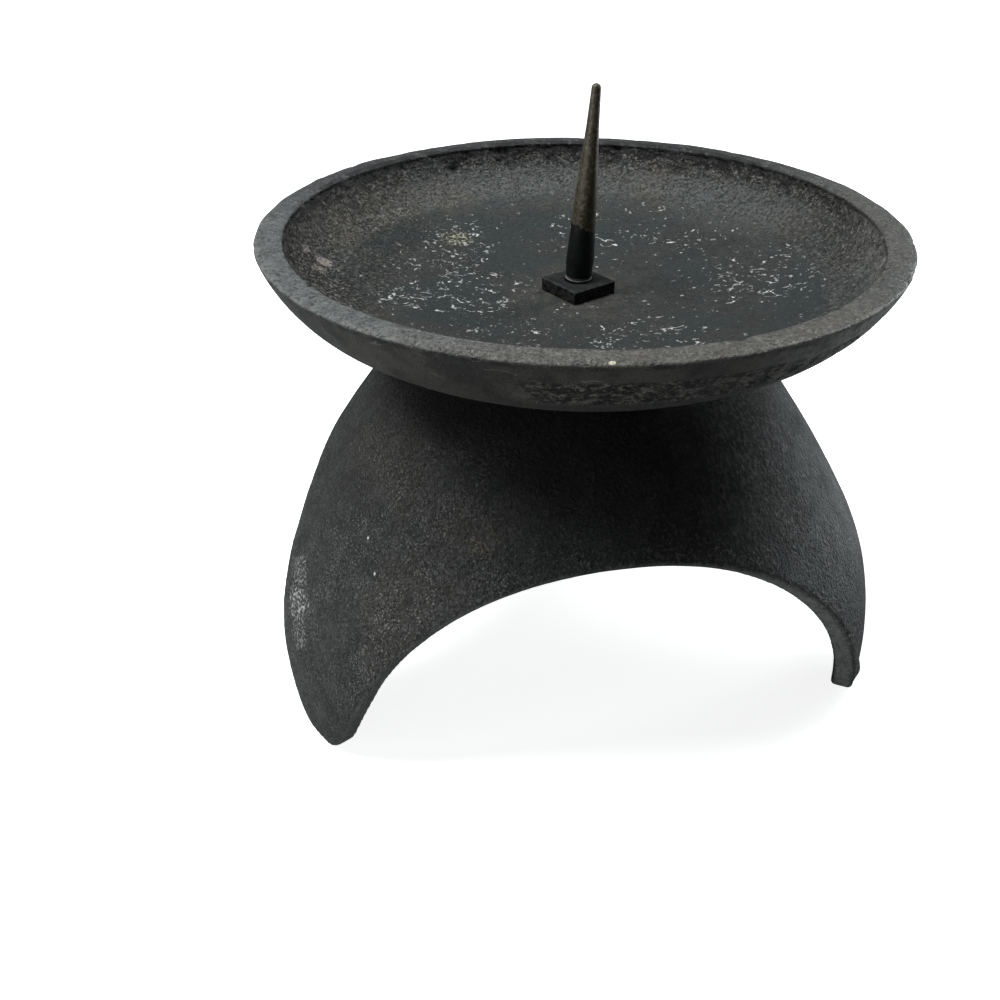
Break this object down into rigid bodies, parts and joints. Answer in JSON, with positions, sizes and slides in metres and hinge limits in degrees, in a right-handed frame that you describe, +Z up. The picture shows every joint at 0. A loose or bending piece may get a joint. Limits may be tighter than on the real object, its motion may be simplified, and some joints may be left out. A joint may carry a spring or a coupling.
{
  "type": "pricket candle stand",
  "caption": "Shallow round iron dish with a flat rim and a leaning pricket on a square nut, bolted to the crown of a hollow dome with arches cut out between its legs.",
  "frame": {"origin": "point of the ground under the middle of the dish and dome", "axes": "+Z up, +Y over the leg at the back, -Y out of the wide front arch"},
  "size_m": [0.146, 0.1454, 0.138],
  "materials": {
    "iron": "rough sand-cast, dark and dry",
    "spike": "blackened below, bronze-brown above",
    "nut": "blackened, grey where worn",
    "fixings": "blackened steel"
  },
  "bodies": {
    "root": {"dish": "iron", "base": "iron", "spike": "spike", "square_nut": "nut", "washer": "fixings", "hex_nut": "fixings"}
  },
  "joints": []
}
